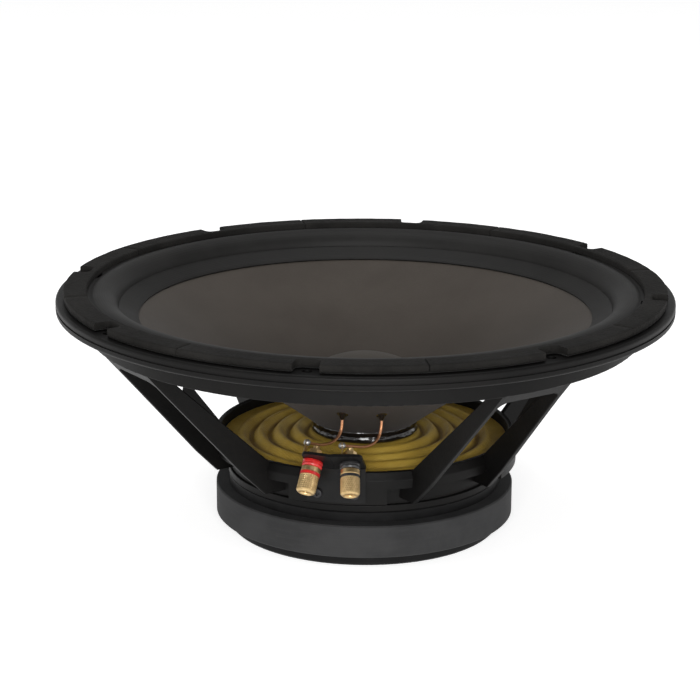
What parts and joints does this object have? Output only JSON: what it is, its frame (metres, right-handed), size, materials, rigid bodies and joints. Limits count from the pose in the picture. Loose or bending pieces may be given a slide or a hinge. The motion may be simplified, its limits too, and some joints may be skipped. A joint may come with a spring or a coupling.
{
  "type": "car subwoofer driver",
  "caption": "Large round loudspeaker driver with a slatted cast basket, ring magnet, rubber surround and gilt binding posts.",
  "frame": {"origin": "on the driver's axis, on the underside of the back plate", "axes": "+Z along the axis towards the listener; -Y towards the terminals"},
  "size_m": [0.3919, 0.392, 0.1584],
  "materials": {
    "black_casting": "satin black paint over a casting",
    "ferrite": "ground ferrite",
    "plated_steel": "black passivated steel",
    "paper_cone": "coated pulp",
    "black_rubber": "moulded rubber",
    "foam_gasket": "pressed gasket strip",
    "spider_cloth": "resin-dipped woven cloth",
    "former_film": "brown film",
    "copper_coil": "enamelled copper",
    "black_adhesive": "wet-look adhesive",
    "dust_cap_pulp": "pressed pulp",
    "black_steel": "black plate",
    "gilt_brass": "gold-flashed brass",
    "red_nylon": "moulded nylon",
    "black_nylon": "moulded nylon",
    "fibre": "pressed fibre",
    "steel_screw": "black zinc",
    "copper_braid": "braided tinsel",
    "solder": "solder"
  },
  "bodies": {
    "frame": {"basket": "black_casting", "basket_screws": "steel_screw", "magnet": "ferrite", "t_yoke": "plated_steel", "top_plate": "plated_steel", "spider": "spider_cloth", "surround": "black_rubber", "gasket_segment_1": "foam_gasket", "gasket_segment_2": "foam_gasket", "gasket_segment_3": "foam_gasket", "gasket_segment_4": "foam_gasket", "gasket_segment_5": "foam_gasket", "gasket_segment_6": "foam_gasket", "gasket_segment_7": "foam_gasket", "gasket_segment_8": "foam_gasket", "terminal_bracket": "black_steel", "bracket_screws": "steel_screw", "red_insulating_collar": "red_nylon", "red_back_washer": "fibre", "red_post_stud": "gilt_brass", "red_hex_nut": "gilt_brass", "red_solder_lug": "gilt_brass", "red_solder_joint": "solder", "red_tinsel_lead": "copper_braid", "black_insulating_collar": "black_nylon", "black_back_washer": "fibre", "black_post_stud": "gilt_brass", "black_hex_nut": "gilt_brass", "black_solder_lug": "gilt_brass", "black_solder_joint": "solder", "black_tinsel_lead": "copper_braid"},
    "cone": {"cone": "paper_cone", "dust_cap": "dust_cap_pulp", "voice_coil_former": "former_film", "voice_coil_winding": "copper_coil", "neck_bead": "black_adhesive", "red_lead_eyelet": "black_adhesive", "black_lead_eyelet": "black_adhesive"},
    "red_ring": {"red_clamp_ring": "gilt_brass"},
    "red_cap": {"red_knurled_cap": "gilt_brass", "red_cap_band": "red_nylon"},
    "black_ring": {"black_clamp_ring": "gilt_brass"},
    "black_cap": {"black_knurled_cap": "gilt_brass", "black_cap_band": "black_nylon"}
  },
  "joints": [
    {"name": "cone_travel", "type": "slide", "parent": "frame", "child": "cone", "axis": [0, 0, 1], "range_m": [-0.009, 0.009], "stiffness_N_per_m": 4500, "deforming": ["spider", "surround", "red_tinsel_lead", "black_tinsel_lead"]},
    {"name": "red_ring_slide", "type": "slide", "parent": "frame", "child": "red_ring", "axis": [-0.1154, -0.6048, -0.788], "range_m": [0, 0.0045]},
    {"name": "red_cap_turn", "type": "hinge", "parent": "red_ring", "child": "red_cap", "pos_m": [-0.0124, -0.107, 0.073], "axis": [-0.1154, -0.6048, -0.788], "range_deg": [0, 1620]},
    {"name": "black_ring_slide", "type": "slide", "parent": "frame", "child": "black_ring", "axis": [0.1154, -0.6048, -0.788], "range_m": [0, 0.0045]},
    {"name": "black_cap_turn", "type": "hinge", "parent": "black_ring", "child": "black_cap", "pos_m": [0.0102, -0.107, 0.073], "axis": [0.1154, -0.6048, -0.788], "range_deg": [0, 1620]}
  ],
  "couplings": [
    {"joint": "red_ring_slide", "follows": "red_cap_turn", "m_per_rad": 0.00015915},
    {"joint": "black_ring_slide", "follows": "black_cap_turn", "m_per_rad": 0.00015915}
  ]
}
